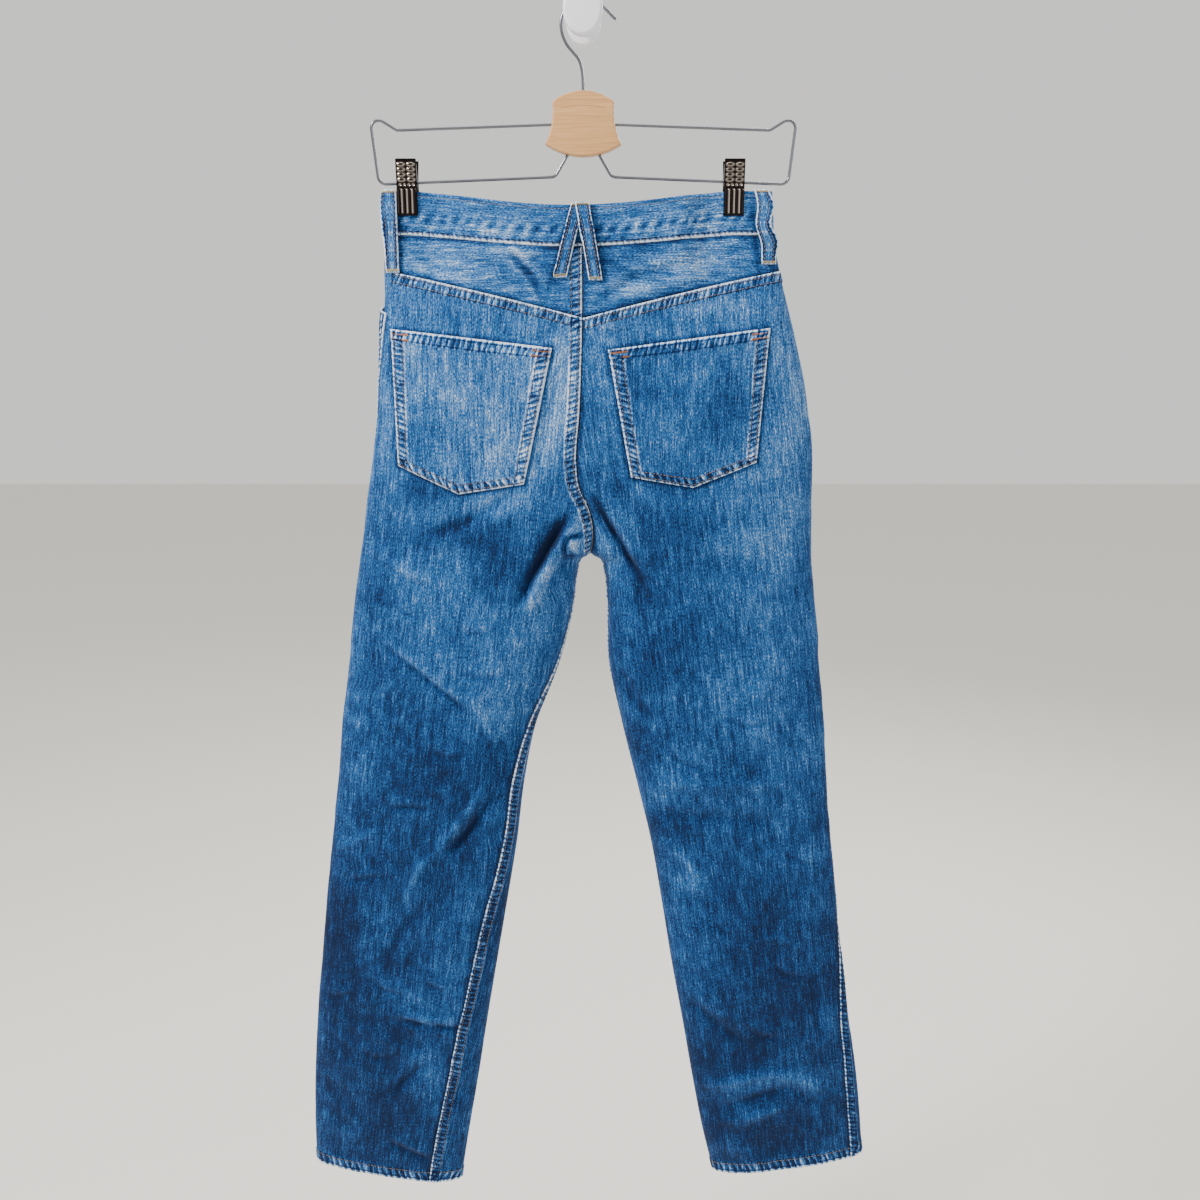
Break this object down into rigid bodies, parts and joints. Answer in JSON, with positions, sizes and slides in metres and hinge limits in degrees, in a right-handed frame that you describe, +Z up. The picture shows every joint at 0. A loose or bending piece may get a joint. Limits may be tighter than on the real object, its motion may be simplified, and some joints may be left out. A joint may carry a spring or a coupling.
{
  "type": "slim jeans on a clip hanger and wall hook",
  "caption": "Slim denim jeans hung by the waistband from a wire clip hanger with a wooden block, on a wall hook, back to the room.",
  "frame": {"origin": "centre of the wall hook's back face, on the wall's plane", "axes": "+Z up, +Y into the wall, -Y into the room where the garment's back shows, +X to the viewer's right"},
  "size_m": [0.5644, 0.0609, 1.1405],
  "materials": {
    "denim": "washed blue twill",
    "denim_worn": "paler washed blue twill",
    "button_metal": "aged",
    "wire": "dark bright wire",
    "clip_metal": "dark bronze",
    "wood": "clear satin varnish",
    "white_plastic": "white gloss"
  },
  "bodies": {
    "root": {"back_left_upper": "denim", "back_left_thigh": "denim", "back_left_knee": "denim", "back_left_calf": "denim", "back_right_upper": "denim", "back_right_thigh": "denim", "back_right_knee": "denim", "back_right_calf": "denim", "front_left_upper": "denim", "front_left_thigh": "denim", "front_left_knee": "denim", "front_left_calf": "denim", "front_right_upper": "denim", "front_right_thigh": "denim", "front_right_knee": "denim", "front_right_calf": "denim", "yoke_left": "denim", "yoke_right": "denim", "front_pocket_facing_left": "denim", "front_pocket_facing_right": "denim", "waistband": "denim", "fly": "denim", "hem_left": "denim", "hem_right": "denim", "back_pocket_left": "denim_worn", "back_pocket_right": "denim_worn", "belt_loop_back_left": "denim_worn", "belt_loop_back_right": "denim_worn", "belt_loop_side_left": "denim_worn", "belt_loop_side_right": "denim_worn", "belt_loop_front_left": "denim_worn", "belt_loop_front_right": "denim_worn", "waist_button": "button_metal", "hanger_wire_left": "wire", "hanger_wire_right": "wire", "hanger_hook": "wire", "clip_left_spring": "wire", "clip_right_spring": "wire", "clip_left_front_jaw": "clip_metal", "clip_left_back_jaw": "clip_metal", "clip_right_front_jaw": "clip_metal", "clip_right_back_jaw": "clip_metal", "hanger_block": "wood", "wall_hook_base": "white_plastic", "wall_hook_post": "white_plastic", "wall_hook_knob": "white_plastic"}
  },
  "joints": []
}
